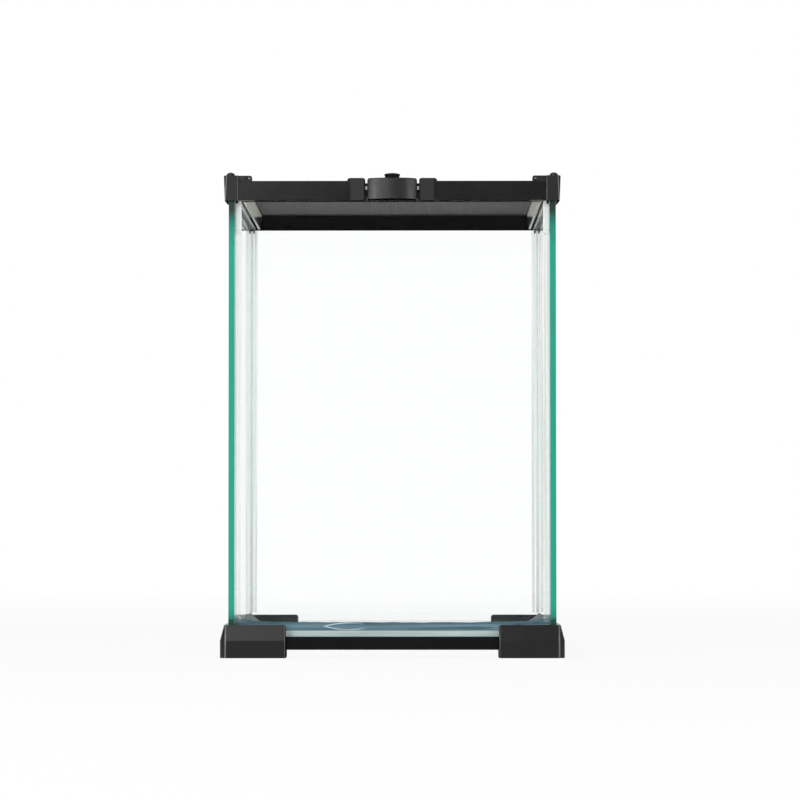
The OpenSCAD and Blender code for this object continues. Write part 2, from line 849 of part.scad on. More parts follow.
module latch_bore(gap, reach) {
    translate([-reach, latch_pin_out, pin_z]) rotate([0, 90, 0])
        cylinder(h = 2 * reach, r = pin_r + gap);
}
module tower() {
    color(black) difference() {
        intersection() {
            translate([0, 0, latch_z0]) linear_extrude(latch_z1 - latch_z0) polygon([
                [tower_x, -notch_in], [latch_half, -notch_in], [latch_half, tower_out - tower_edge],
                [latch_half - tower_edge, tower_out], [tower_x + tower_edge_in, tower_out],
                [tower_x, tower_out - tower_edge_in]]);
            through(-far, far) translate([tower_x + tower_w / 2, (latch_z0 + latch_z1) / 2])
                rounded(tower_w, latch_z1 - latch_z0, latch_round);
        }
        box([0, -far, latch_z0 - 1], [far, rim_out, notch_z]);
        latch_bore(seat_gap, tower_x + pin_seat + seat_gap);
    }
}
module left_latch_tower() {
    front_face() mirror([1, 0, 0]) tower();
}
module right_latch_tower() {
    front_face() tower();
}
module latch_pin() {
    color(steel) front_face() latch_bore(0, tower_x + pin_seat);
}
module bow(inset) {
    intersection() {
        translate([0, flap_front - bow_r]) circle(bow_r - inset, $fn = fine);
        translate([-flap_w / 2, -far]) square([flap_w, 2 * far]);
    }
}
// Bowed face with its top and bottom edges chamfered
module flap_drum() {
    h = flap_z1 - flap_z0;
    translate([0, flap_front - bow_r, flap_z0]) rotate_extrude($fn = fine) polygon([
        [0, 0], [bow_r - flap_soft, 0], [bow_r, flap_soft], [bow_r, h - flap_soft],
        [bow_r - flap_soft, h], [0, h]]);
}
// Outline of the flap from above, with its two front corners chamfered
module flap_plan() {
    lean = asin(flap_w / 2 / bow_r);
    side = flap_w / 2 - flap_soft * cos(lean);
    polygon([[-flap_w / 2, -far], [flap_w / 2, -far], [flap_w / 2, tower_out - flap_soft],
             [side, tower_out + flap_soft * sin(lean)], [0, far],
             [-side, tower_out + flap_soft * sin(lean)], [-flap_w / 2, tower_out - flap_soft]]);
}
module flap_side() {
    waist = pin_z + 0.6;
    translate([-flap_back, waist]) square([flap_front + flap_back + 1, flap_z1 - waist]);
    translate([flap_low_back, flap_z0]) square([flap_front + 1 - flap_low_back, waist + 1 - flap_z0]);
    translate([latch_pin_out, pin_z]) circle(boss_r);
}
module latch_flap() {
    color(soft_black) front_face() difference() {
        intersection() {
            flap_drum();
            translate([0, 0, flap_z0]) linear_extrude(flap_z1 - flap_z0) flap_plan();
            along(flap_w + 2) flap_side();
            through(-far, far) translate([0, (flap_z0 + flap_z1) / 2])
                rounded(flap_w, flap_z1 - flap_z0, latch_round);
        }
        // Hollow back, where the tongue and the spring work
        intersection() {
            translate([0, 0, flap_z0 + flap_wall]) linear_extrude(roof_z - flap_z0 - flap_wall)
                bow(flap_wall);
            through(-far, far) translate([-flap_w / 2 + cheek_t, flap_z0])
                square([flap_w - 2 * cheek_t, far]);
        }
        latch_bore(run_gap, flap_w);
        translate([0, knob_out, roof_z - 1]) cylinder(h = roof_t + 2, r = spindle_r + run_gap);
    }
}

// Points of the torsion spring: a leg on the flap's face, the coil, and a tail in the rim
function coil_point(a) = [-coil_x + coil_pitch * a / 360,
                          latch_pin_out + coil_r * cos(leg_turn + a), pin_z + coil_r * sin(leg_turn + a)];
coil_steps = 12;
spring_path = concat(
    [coil_point(0) + leg_len * [0, sin(leg_turn), -cos(leg_turn)],
     coil_point(0) + leg_len / 4 * [0, sin(leg_turn), -cos(leg_turn)]],
    [for (i = [0 : floor(coil_angle / 360 * coil_steps)]) coil_point(i * 360 / coil_steps)],
    [coil_point(coil_angle), coil_point(coil_angle) + [0, -1.5, 0],
     [-tail_x, -notch_in - 1, pin_z + coil_r]]);
spring_sides = 6;
function unit(v) = v / norm(v);
function along_path(p, i) = unit(p[min(i + 1, len(p) - 1)] - p[max(i - 1, 0)]);
function spring_ring(p, i) =
    let (t = along_path(p, i), u = unit(cross(t, [1, 0.02, 0.01])), v = cross(t, u))
    [for (k = [0 : spring_sides - 1])
        p[i] + wire_r * (u * cos(k * 360 / spring_sides) + v * sin(k * 360 / spring_sides))];
module tube(p) {
    n = len(p);
    m = spring_sides;
    polyhedron(
        [for (i = [0 : n - 1]) each spring_ring(p, i)],
        concat(
            [[for (k = [0 : m - 1]) m - 1 - k]],
            [for (i = [0 : n - 2], k = [0 : m - 1])
                [i * m + k, i * m + (k + 1) % m, (i + 1) * m + (k + 1) % m, (i + 1) * m + k]],
            [[for (k = [0 : m - 1]) (n - 1) * m + k]]));
}
function self_gap(p, apart) =
    min([for (i = [0 : len(p) - 1 - apart], j = [i + apart : len(p) - 1]) norm(p[i] - p[j])]) - 2 * wire_r;
echo(spring_gap_mm = self_gap(spring_path, coil_steps / 2));
module latch_spring() {
    color(steel) front_face() tube(spring_path);
}

// Lock knob

module at_knob() {
    front_face() translate([0, knob_out, 0]) children();
}
module lock_knob() {
    r = knob_d / 2;
    ball = (r * r + knob_crown * knob_crown) / (2 * knob_crown);
    color([0.05, 0.05, 0.05]) at_knob() {
        intersection() {
            translate([0, 0, knob_z]) rotate_extrude($fn = fine) polygon([
                [0, 0], [r - waist_in, 0], [r - waist_in, knob_waist],
                [r, knob_waist + waist_in], [r, knob_flank + knob_crown],
                [0, knob_flank + knob_crown]]);
            translate([0, 0, knob_z + knob_flank + knob_crown - ball]) sphere(ball, $fn = fine);
        }
        translate([0, 0, clip_z + clip_t + 0.05]) cylinder(h = knob_z - clip_z - clip_t, r = spindle_r);
        translate([0, 0, clip_z - 0.1]) cylinder(h = clip_t + 0.2, r = neck_r);
        translate([0, 0, spindle_z]) cylinder(h = clip_z - 0.05 - spindle_z, r = spindle_r);
    }
}
module lock_tongue() {
    color(steel) at_knob() translate([0, 0, tongue_z]) linear_extrude(tongue_t) difference() {
        union() {
            circle(tongue_hub);
            translate([0, -tongue_w / 2]) square([tongue_len - tongue_w / 2, tongue_w]);
            translate([tongue_len - tongue_w / 2, 0]) circle(tongue_w / 2);
        }
        circle(spindle_r + seat_gap);
    }
}
module tongue_clip() {
    color(steel) at_knob() translate([0, 0, clip_z]) linear_extrude(clip_t) difference() {
        circle(clip_r);
        circle(neck_r + seat_gap);
        translate([-neck_r * 0.9, -clip_r - 1]) square([neck_r * 1.8, clip_r + 1]);
    }
}

// Cable inlets, drawn for the right one

module at_inlet(side) {
    rear_face() mirror([side < 0 ? 1 : 0, 0, 0]) children();
}
module inlet_guide() {
    color(soft_black) difference() {
        box([track_x - guide_side, -rim_reach - guide_t, guide_z],
            [track_x + track_len + guide_side, -rim_reach, guide_top]);
        box([track_x + guide_side, -far, inlet_z - shutter_over / 2],
            [track_x + track_len - guide_side, 0, inlet_z + inlet_h]);
    }
}
module inlet_shutter() {
    back = -rim_reach + recess_d - shutter_gap;
    front = back - shutter_t;
    color(black) union() {
        box([shutter_x, front, shutter_z], [shutter_x + shutter_len, back, shutter_z + shutter_h]);
        // Finger rib that stands in the guide's slot
        box([shutter_x + 2 * guide_side, front - guide_t, rib_z],
            [shutter_x + shutter_len - 2 * guide_side, front, rib_z + rib_h]);
    }
}
module left_inlet_guide() {
    at_inlet(-1) inlet_guide();
}
module right_inlet_guide() {
    at_inlet(1) inlet_guide();
}
module left_inlet_shutter() {
    at_inlet(-1) inlet_shutter();
}
module right_inlet_shutter() {
    at_inlet(1) inlet_shutter();
}

front_pane();
rear_pane();
left_pane();
right_pane();
floor_pane();
corner_silicone();
floor_silicone();
rim_silicone();
front_left_foot();
front_right_foot();
rear_left_foot();
rear_right_foot();
front_base_rail();
rear_base_rail();
left_base_rail();
right_base_rail();
front_rim_rail();
rear_rim_rail();
left_rim_rail();
right_rim_rail();
front_left_block();
front_right_block();
rear_left_block();
rear_right_block();
arm_rivets();
lid_frame();
lid_mesh();
mesh_clamp();
left_lid_knuckle();
right_lid_knuckle();
left_hinge_bracket();
right_hinge_bracket();
left_hinge_pin();
right_hinge_pin();
hinge_screws();
left_latch_tower();
right_latch_tower();
latch_pin();
latch_flap();
latch_spring();
lock_knob();
lock_tongue();
tongue_clip();
left_inlet_guide();
right_inlet_guide();
left_inlet_shutter();
right_inlet_shutter();
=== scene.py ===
import math

import bmesh
import bpy
from mathutils import Euler, Matrix, Vector, noise


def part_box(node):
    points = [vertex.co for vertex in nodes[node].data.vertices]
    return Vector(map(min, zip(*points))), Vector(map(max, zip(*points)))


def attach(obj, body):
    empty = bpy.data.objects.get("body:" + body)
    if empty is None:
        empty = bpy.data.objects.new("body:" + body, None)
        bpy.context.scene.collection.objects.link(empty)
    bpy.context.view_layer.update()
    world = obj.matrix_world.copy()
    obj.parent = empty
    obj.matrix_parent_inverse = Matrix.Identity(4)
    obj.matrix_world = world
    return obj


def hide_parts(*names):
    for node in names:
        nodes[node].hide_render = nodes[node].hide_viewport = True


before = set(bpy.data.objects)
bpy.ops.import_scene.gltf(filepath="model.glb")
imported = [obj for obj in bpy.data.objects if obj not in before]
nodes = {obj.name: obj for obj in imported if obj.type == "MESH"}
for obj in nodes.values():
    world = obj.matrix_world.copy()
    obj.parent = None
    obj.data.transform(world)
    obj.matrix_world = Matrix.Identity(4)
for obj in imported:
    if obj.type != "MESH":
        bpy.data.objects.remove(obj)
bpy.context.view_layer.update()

scene = bpy.context.scene
print("frame loaded:", len(nodes), "nodes")


cameraSetup = {
    "place": (0.0146, -2.0165, 0.0871),
    "pitch": 1.588,  # degrees above level
    "yaw": 0.294,
    "roll": -0.02,
    "rise": 0.0389,  # lens shift, only as large as the framing needs
    "lens": 139.2,
    "sensor": 36,
    "near": 0.01,
    "far": 60,
}


def makeCamera(setup):
    data = bpy.data.cameras.new("camera")
    data.lens = setup["lens"]
    data.sensor_width = setup["sensor"]
    data.shift_y = setup["rise"]
    data.clip_start = setup["near"]
    data.clip_end = setup["far"]
    camera = bpy.data.objects.new("camera", data)
    turn = Euler((math.radians(90 + setup["pitch"]), 0, math.radians(setup["yaw"])), "XYZ").to_matrix()
    roll = Matrix.Rotation(math.radians(setup["roll"]), 3, "Z")
    camera.matrix_world = Matrix.Translation(setup["place"]) @ (turn @ roll).to_4x4()
    scene.collection.objects.link(camera)
    scene.camera = camera


makeCamera(cameraSetup)
scene.view_settings.view_transform = "Standard"


class Val:  # a socket in a shader, so that its maths reads as plain expressions
    def __init__(self, finish, socket):
        self.finish = finish
        self.socket = socket

    def math(self, operation, *values):
        return self.finish.node("ShaderNodeMath", {"operation": operation}, dict(enumerate(values)))

    def __add__(self, other):
        return self.math("ADD", self, other)

    def __radd__(self, other):
        return self.math("ADD", other, self)

    def __sub__(self, other):
        return self.math("SUBTRACT", self, other)

    def __rsub__(self, other):
        return self.math("SUBTRACT", other, self)

    def __mul__(self, other):
        return self.math("MULTIPLY", self, other)

    def __rmul__(self, other):
        return self.math("MULTIPLY", other, self)

    def __truediv__(self, other):
        return self.math("DIVIDE", self, other)

    def __rtruediv__(self, other):
        return self.math("DIVIDE", other, self)

    def __abs__(self):
        return self.math("ABSOLUTE", self)

    def max(self, other):
        return self.math("MAXIMUM", self, other)

    def min(self, other):
        return self.math("MINIMUM", self, other)

    def clamp(self):
        return self.max(0.0).min(1.0)

    def ramp(self, start, span):  # 0 up to start, 1 from start + span on
        return ((self - start) / span).clamp()


class Finish:
    def __init__(self, tree):
        self.tree = tree
        tree.nodes.clear()

    def put(self, slot, value):
        if isinstance(value, Val):
            self.tree.links.new(value.socket, slot)
        else:
            slot.default_value = value

    def node(self, kind, settings=None, inputs=None, output=0):  # output: one socket, or a tuple of them
        made = self.tree.nodes.new(kind)
        for key, value in (settings or {}).items():
            setattr(made, key, value)
        for key, value in (inputs or {}).items():
            self.put(made.inputs[key], value)
        if isinstance(output, tuple):
            return [Val(self, made.outputs[key]) for key in output]
        return Val(self, made.outputs[output]) if made.outputs else None

    def blendColour(self, share, low, high):
        return self.node("ShaderNodeMix", {"data_type": "RGBA"}, {0: share, 6: low, 7: high}, 2)

    def place(self):
        return self.node("ShaderNodeTexCoord", output="Object")

    def axes(self, place):
        return self.node("ShaderNodeSeparateXYZ", None, {0: place}, (0, 1, 2))

    def rays(self):
        return self.node("ShaderNodeLightPath", None, None,
                         ("Is Camera Ray", "Is Glossy Ray", "Is Transmission Ray"))

    def noiseOf(self, place, scale, detail=2.0, stretch=None):
        if stretch:
            place = self.node("ShaderNodeMapping", None, {0: place, 3: stretch})
        return self.node("ShaderNodeTexNoise", None, {"Vector": place, "Scale": scale, "Detail": detail})

    def bump(self, height, strength, distance):
        return self.node("ShaderNodeBump", None,
                         {"Strength": strength, "Distance": distance, "Height": height})

    def principled(self, inputs):
        return self.node("ShaderNodeBsdfPrincipled", None, inputs)

    def absorption(self, colour, density):
        return self.node("ShaderNodeVolumeAbsorption", None, {"Color": colour, "Density": density})

    def shown(self, **links):
        self.node("ShaderNodeOutputMaterial", None, links)


def newFinish(name):
    material = bpy.data.materials.new(name)
    material.use_nodes = True
    return material, Finish(material.node_tree)


studio = {
    "rear": 1.0,  # white surround behind the tank
    "front": 0.25,  # the darker room behind the camera
    "above": 0.6,
    "ambient": 0.50,
    "rearGain": 1.6,
    "aboveFrom": 0.35,
    "aboveOver": 0.5,
    "floorHalf": 20,
    "floorDrop": 0.0002,
    "floorColour": (0.86, 0.86, 0.86, 1),
    "floorNear": 0.90,  # how much of the floor's white is its own
    "fadeFrom": 0.45,
    "fadeOver": 1.2,
    "aim": (0, 0, 0.15),
    "lamps": {
        "softbox": {"place": (-0.62, -1.45, 0.98), "size": 1.1, "power": 13.0},
        "leftStrip": {"place": (-0.95, -1.05, 0.35), "size": 0.22, "power": 2.6},
        "rightStrip": {"place": (0.95, -1.05, 0.35), "size": 0.22, "power": 1.9},
    },
}


def makeWorld(setup):
    world = bpy.data.worlds.new("studio")
    scene.world = world
    world.use_nodes = True
    f = Finish(world.node_tree)
    toRear, up = f.axes(f.node("ShaderNodeTexCoord", output="Generated"))[1:]
    camera, glossy, through = f.rays()
    rearShare = (toRear * setup["rearGain"]).clamp()
    room = rearShare * (setup["rear"] - setup["front"]) + setup["front"]
    overhead = up.ramp(setup["aboveFrom"], setup["aboveOver"])
    room = room + (setup["above"] - room) * overhead * (1 - rearShare)
    plain = room * glossy + setup["ambient"] * (1 - glossy)
    white = camera.max(through)
    strength = white + plain * (1 - white)
    background = f.node("ShaderNodeBackground", None, {"Color": (1, 1, 1, 1), "Strength": strength})
    f.node("ShaderNodeOutputWorld", None, {"Surface": background})


def makeFloor(setup):
    mesh = bpy.data.meshes.new("floor")
    shape = bmesh.new()
    bmesh.ops.create_grid(shape, x_segments=1, y_segments=1, size=setup["floorHalf"])
    bmesh.ops.translate(shape, verts=shape.verts, vec=(0, 0, -setup["floorDrop"]))
    shape.to_mesh(mesh)
    shape.free()
    floor = bpy.data.objects.new("floor", mesh)
    scene.collection.objects.link(floor)
    material, f = newFinish("paleFloor")
    camera, glossy, through = f.rays()
    seen = camera.max(glossy).max(through)
    reach = f.node("ShaderNodeVectorMath", {"operation": "LENGTH"}, {0: f.place()}, "Value")
    far = reach.ramp(setup["fadeFrom"], setup["fadeOver"])
    own = setup["floorNear"] + (1 - setup["floorNear"]) * far
    pale = f.node("ShaderNodeBsdfDiffuse", None, {"Color": setup["floorColour"]})
    glow = f.node("ShaderNodeEmission", None, {"Color": (1, 1, 1, 1), "Strength": 1.0})
    f.shown(Surface=f.node("ShaderNodeMixShader", None, {0: seen * own, 1: pale, 2: glow}))
    mesh.materials.append(material)


def makeLamp(name, setup, aim):
    data = bpy.data.lights.new(name, "AREA")
    data.shape = "SQUARE"
    data.size = setup["size"]
    data.energy = setup["power"]
    lamp = bpy.data.objects.new(name, data)
    place = Vector(setup["place"])
    turn = (Vector(aim) - place).to_track_quat("-Z", "Y")
    lamp.matrix_world = Matrix.Translation(place) @ turn.to_matrix().to_4x4()
    scene.collection.objects.link(lamp)


makeWorld(studio)
makeFloor(studio)
for lampName, lampSetup in studio["lamps"].items():
    makeLamp(lampName, lampSetup, studio["aim"])
print("studio ready")


def toned(colour, share):
    return tuple(min(1, c * share) for c in colour) + (1,)


plastics = {
    "cloudScale": 38.0,
    "fineScale": 2600.0,
    "scuffScale": 210.0,
    "tint": 0.25,  # how far the cloudiness moves the colour
    "cloudRough": 0.12,
    "scuffRough": 0.10,
    "strength": 0.35,
    "kinds": {
        "footPlastic": {"colour": (0.0062, 0.0050, 0.0056), "rough": 0.30, "level": 0.36, "grain": 0.00012},
        "basePlastic": {"colour": (0.0062, 0.0056, 0.0066), "rough": 0.36, "level": 0.08, "grain": 0.00005},
        "rimPlastic": {"colour": (0.0085, 0.0078, 0.0088), "rough": 0.20, "level": 0.36, "grain": 0.00003},
        "towerPlastic": {"colour": (0.0120, 0.0115, 0.0122), "rough": 0.38, "level": 0.36, "grain": 0.00016},
        # pale finish for the upright corner edges: a painted highlight
        "paintedHighlightEdge": {"colour": (0.1150, 0.1130, 0.1150), "rough": 0.28, "level": 0.70, "grain": 0.00002},
        # dark and without gloss: painted shade for inward and downward faces and the inlet parts
        "paintedShadePlastic": {"colour": (0.0024, 0.0024, 0.0026), "rough": 0.60, "level": 0.0, "grain": 0.00003},
        "flapPlastic": {"colour": (0.0140, 0.0135, 0.0140), "rough": 0.30, "level": 0.42, "grain": 0.00012},
        "knobPlastic": {"colour": (0.0020, 0.0020, 0.0020), "rough": 0.30, "level": 0.12, "grain": 0.00002},
        "innerPlastic": {"colour": (0.0070, 0.0068, 0.0072), "rough": 0.36, "level": 0.40, "grain": 0.00005},
    },
}


def mouldedPlastic(name, setup):
    kind, tint = setup["kinds"][name], setup["tint"]
    material, f = newFinish(name)
    place = f.place()
    cloud = f.noiseOf(place, setup["cloudScale"], 3.0)
    fine = f.noiseOf(place, setup["fineScale"], 1.0)
    scuff = f.noiseOf(place, setup["scuffScale"], 4.0)
    base = f.blendColour(cloud, toned(kind["colour"], 1 - tint), toned(kind["colour"], 1 + tint))
    rough = kind["rough"] + (cloud - 0.5) * setup["cloudRough"] + (scuff - 0.5) * setup["scuffRough"]
    f.shown(Surface=f.principled({"Base Color": base, "Roughness": rough, "Specular IOR Level": kind["level"],
                                  "Normal": f.bump(fine, setup["strength"], kind["grain"])}))
    return material


blockCoat = {
    "face": (0.0095, 0.0090, 0.0095),
    "arm": (0.0012, 0.0012, 0.0012, 1),
    "reach": 0.0918,  # the arms lie further in than this
    "fade": 4000,
    "spread": 0.3,
    "cloudScale": 60.0,
    "gritScale": 1500.0,
    "cloudShare": 0.4,
    "rough": 0.31,
    "gritRough": 0.10,
    "level": 0.40,
    "strength": 0.35,
    "grain": 0.00016,
}


def blockMoulding(name, setup):  # grained faces on the corner, and a darker arm beyond them
    material, f = newFinish(name)
    place = f.place()
    across, deep = (abs(axis) for axis in f.axes(place)[:2])
    onArm = ((setup["reach"] - across.min(deep)) * setup["fade"]).clamp()
    cloud = f.noiseOf(place, setup["cloudScale"], 3.0)
    grit = f.noiseOf(place, setup["gritScale"], 2.0)
    tone = (cloud * setup["cloudShare"] + grit * (1 - setup["cloudShare"])).clamp()
    corner = f.blendColour(tone, toned(setup["face"], 1 - setup["spread"]),
                           toned(setup["face"], 1 + setup["spread"]))
    f.shown(Surface=f.principled({
        "Base Color": f.blendColour(onArm, corner, setup["arm"]),
        "Roughness": setup["rough"] + (grit - 0.5) * setup["gritRough"],
        "Normal": f.bump(grit, setup["strength"], setup["grain"]), "Specular IOR Level": setup["level"]}))
    return material


steels = {
    "scale": 900.0,
    "stretch": (0.04, 1.0, 1.0),
    "dull": 0.85,
    "streakRough": 0.2,
    "kinds": {
        "pinSteel": {"colour": (0.45, 0.45, 0.46), "rough": 0.30},
        "rivetSteel": {"colour": (0.24, 0.24, 0.25), "rough": 0.40},
    },
}


def drawnSteel(name, setup):
    kind = setup["kinds"][name]
    material, f = newFinish(name)
    streak = f.noiseOf(f.place(), setup["scale"], 2.0, setup["stretch"])
    base = f.blendColour(streak, toned(kind["colour"], setup["dull"]), toned(kind["colour"], 1))
    f.shown(Surface=f.principled({"Base Color": base, "Metallic": 1.0,
                                  "Roughness": kind["rough"] + (streak - 0.5) * setup["streakRough"]}))
    return material


glass = {
    "index": 1.16,  # low, so that each face mirrors the room as faintly as in the photograph
    "depth": (0.18, 0.79, 0.70, 1),
    "density": 2.0,
    "smearScale": 14.0,
    "smearFrom": 0.62,
    "haze": 0.04,
}


def floatGlass(name, setup):
    material, f = newFinish(name)
    smear = f.noiseOf(f.place(), setup["smearScale"], 3.0)
    haze = ((smear - setup["smearFrom"]) * setup["haze"]).clamp()
    f.shown(Surface=f.principled({"Base Color": (1, 1, 1, 1), "Roughness": haze, "IOR": setup["index"],
                                  "Transmission Weight": 1.0}),
            Volume=f.absorption(setup["depth"], setup["density"]))
    return material


seamed = {
    "dimAbove": 0.2730,  # painted shade: the edge is darkened next to the rim and the feet, where the black mouldings are seen through the glass
    "aboveSharp": 110,
    "dimBelow": 0.0240,
    "belowSharp": 700,
    "streakScale": 40.0,
    "stretch": (1.0, 1.0, 0.08),
    "glow": ((0.006, 0.40, 0.26, 1), (0.05, 0.58, 0.41, 1)),
    "glowAbove": (0.030, 0.075, 0.062, 1),
    "glowBelow": (0.004, 0.13, 0.085, 1),
    "ground": ((0.015, 0.45, 0.31, 1), (0.04, 0.57, 0.42, 1)),
    "groundAbove": (0.035, 0.080, 0.068, 1),
    "groundBelow": (0.006, 0.15, 0.10, 1),
    "glowRough": 0.06,
    "glowStreak": 0.05,
    "groundRough": 0.4,
    "groundShare": 0.40,
    "shareStreak": 0.1,
    "density": 6.0,
}


def seamedEdge(name, setup, pane):  # green glow of the long way through the pane, under a finely ground face
    material, f = newFinish(name)
    place = f.place()
    up = f.axes(place)[2]
    streak = f.noiseOf(place, setup["streakScale"], 4.0, setup["stretch"])
    # painted shade on the edge towards the rim above and the feet below
    above = ((up - setup["dimAbove"]) * setup["aboveSharp"] + 0.5).clamp()
    below = ((setup["dimBelow"] - up) * setup["belowSharp"] + 0.5).clamp()
    tint, ground = (f.blendColour(below, f.blendColour(above, f.blendColour(streak, *setup[kind]),
                                                       setup[kind + "Above"]), setup[kind + "Below"])
                    for kind in ("glow", "ground"))
    glow = f.principled({"Base Color": tint, "Roughness": setup["glowRough"] + streak * setup["glowStreak"],
                         "IOR": pane["index"], "Transmission Weight": 1.0})
    face = f.principled({"Base Color": ground, "Roughness": setup["groundRough"]})
    share = setup["groundShare"] + streak * setup["shareStreak"]
    f.shown(Surface=f.node("ShaderNodeMixShader", None, {0: share, 1: glow, 2: face}),
            Volume=f.absorption(pane["depth"], setup["density"]))
    return material


plainCoats = {  # finishes that are one streaked colour and nothing more
    "groundEdge": {"scale": 700.0, "detail": 2.0, "stretch": None, "rough": 0.70, "streakRough": 0.2,
                   "low": (0.01, 0.03, 0.022, 1), "high": (0.03, 0.07, 0.055, 1)},
    "seamWhite": {"scale": 60.0, "detail": 4.0, "stretch": (0.3, 0.3, 9.0), "rough": 0.40, "streakRough": 0.0,
                  "low": (0.27, 0.36, 0.36, 1), "high": (0.62, 0.71, 0.70, 1)},
    "coatedWire": {"scale": 90.0, "detail": 3.0, "stretch": None, "rough": 0.345, "streakRough": 0.15,
                   "low": (0.06, 0.06, 0.06, 1), "high": (0.11, 0.11, 0.11, 1)},
}


def plainCoat(name, setup):
    material, f = newFinish(name)
    streak = f.noiseOf(f.place(), setup["scale"], setup["detail"], setup["stretch"])
    f.shown(Surface=f.principled({"Base Color": f.blendColour(streak, setup["low"], setup["high"]),
                                  "Roughness": setup["rough"] + streak * setup["streakRough"]}))
    return material


upright = {
    "strokeScale": 850.0,
    "stretch": (1.0, 1.0, 0.006),  # drawn upwards in one stroke
    "bandFrom": 0.38,
    "bandSpan": 0.25,
    "thin": ((0.85, 0.93, 0.89, 1), (0.58, 0.66, 0.62, 1)),
    "thick": (0.97, 0.98, 0.96, 1),
    "bandShade": 0.3,
    "thinAlpha": 0.08,
    "bandAlpha": 0.24,
    "thickAlpha": 0.86,
    "thickFrom": 0.2600,  # the tops of the front beads are nearly opaque
    "thickSpan": 0.0060,
    "cornerX": 0.0850,
    "frontY": 0.0500,
    "edge": 0.001,
    "rough": 0.20,
    "strokeRough": 0.1,
    "strength": 0.25,
    "grain": 0.00015,
}


def uprightSilicone(name, setup):
    material, f = newFinish(name)
    place = f.place()
    across, deep, up = f.axes(place)
    stroke = f.noiseOf(place, setup["strokeScale"], 2.0, setup["stretch"])
    band = stroke.ramp(setup["bandFrom"], setup["bandSpan"])
    inCorner = abs(across).ramp(setup["cornerX"], setup["edge"])
    inFront = (0 - deep).ramp(setup["frontY"], setup["edge"])
    thick = up.ramp(setup["thickFrom"], setup["thickSpan"]) * inFront * inCorner
    thin = f.blendColour(band, *setup["thin"])
    f.shown(Surface=f.principled({
        "Base Color": f.blendColour(thick * (1 - band * setup["bandShade"]), thin, setup["thick"]),
        "Roughness": setup["rough"] + stroke * setup["strokeRough"],
        "Normal": f.bump(stroke, setup["strength"], setup["grain"]),
        "Alpha": (setup["thinAlpha"] + band * setup["bandAlpha"]).max(thick * setup["thickAlpha"])}))
    return material


cloudAndShade = {
    "low": 0.0167,  # underside of the bead
    "tall": 0.0052,
    "frontY": (-0.087, 0.003),
    "flankY": (0.088, 0.006),
    "streakScale": 150.0,
    "streakStretch": (0.10, 1.0, 3.4),
    "shade": (0.32, 1 / 2.8),
    # front: painted shade, a dark teal for the shaded ground and black base rails seen through the milky bead
    "front": ((0.016, 0.075, 0.100, 1), (0.135, 0.240, 0.300, 1)),
    "crumpleScale": 420.0,
    "knot": (0.54, 1 / 6),
    # flank: painted shade likewise, a dark teal for the black rails seen through the side beads
    "flank": ((0.045, 0.095, 0.110, 1), (0.30, 0.42, 0.45, 1)),
    "clear": (0.75, 0.85, 0.87, 1),
    "lensX": (-0.027, 0.015),  # middle and half length of the lens-shaped void
    "lensRise": 0.52,
    "lensTall": 0.40,
    "lensSharp": 11,
    "lensEnds": (5, 0.6),
    "breakScale": 70.0,
    "break": (0.38, 1 / 6),
    "lensShare": 0.85,
    "glintScale": 75.0,
    "glintStretch": (0.35, 1.0, 5.0),
    "glint": (0.67, 1 / 14),
    "glintShare": 0.6,
    # colour of the painted highlights on the lens outline and the glints
    "bright": (0.72, 0.84, 0.86, 1),
    "frontAlpha": 0.95,
    "flankAlpha": 0.84,
    "knotAlpha": 0.3,
    "clearAlpha": (0.01, 0.03),
    "rough": 0.12,
    "streakRough": 0.12,
    "flankRough": 0.3,
    "level": 0.3,
    "strength": 0.5,
    "grain": 0.0003,
}


def floorSilicone(name, setup):  # nearly clear at the rear; milky at the front and the sides, with painted shade there: a dark teal for the shaded ground and black base rails seen through the bead
    material, f = newFinish(name)
    place = f.place()
    across, deep, up = f.axes(place)
    front = ((setup["frontY"][0] - deep) / setup["frontY"][1]).clamp()
    flank = ((setup["flankY"][0] - deep) / setup["flankY"][1]).clamp() * (1 - front)
    clear = (1 - front) * (1 - flank)
    streak = f.noiseOf(place, setup["streakScale"], 4.0, setup["streakStretch"])
    crumple = f.noiseOf(place, setup["crumpleScale"], 3.0)
    rise = (up - setup["low"]) / setup["tall"]
    along = (across - setup["lensX"][0]) / setup["lensX"][1]
    inLens = 1 - along * along
    outline = abs(rise - setup["lensRise"]) - inLens.max(0.0) * setup["lensTall"]
    broken = f.noiseOf(place, setup["breakScale"], 2.0).ramp(*setup["break"])
    # painted highlight along the outline of the lens-shaped void, broken up, with painted glints
    rim = (1 - abs(outline) * setup["lensSharp"]).clamp()
    rim = rim * (inLens * setup["lensEnds"][0] + setup["lensEnds"][1]).clamp()
    glint = f.noiseOf(place, setup["glintScale"], 3.0, setup["glintStretch"]).ramp(*setup["glint"])
    shine = (rim * broken * setup["lensShare"]).max(glint * setup["glintShare"])
    frontShadeColour = f.blendColour(shine, f.blendColour(streak.ramp(*setup["shade"]), *setup["front"]),
                                setup["bright"])
    knot = crumple.ramp(*setup["knot"])
    flankShadeColour = f.blendColour(knot, *setup["flank"])
    share = front * setup["frontAlpha"] + flank * (setup["flankAlpha"] - setup["knotAlpha"] * knot)
    share = share + clear * (setup["clearAlpha"][0] + streak * setup["clearAlpha"][1])
    f.shown(Surface=f.principled({
        "Base Color": f.blendColour(clear, f.blendColour(front, flankShadeColour, frontShadeColour), setup["clear"]),
        "Roughness": setup["rough"] + streak * setup["streakRough"] + flank * setup["flankRough"],
        "Alpha": share.clamp(),
        "Normal": f.bump(crumple, setup["strength"], setup["grain"]), "Specular IOR Level": setup["level"]}))
    return material


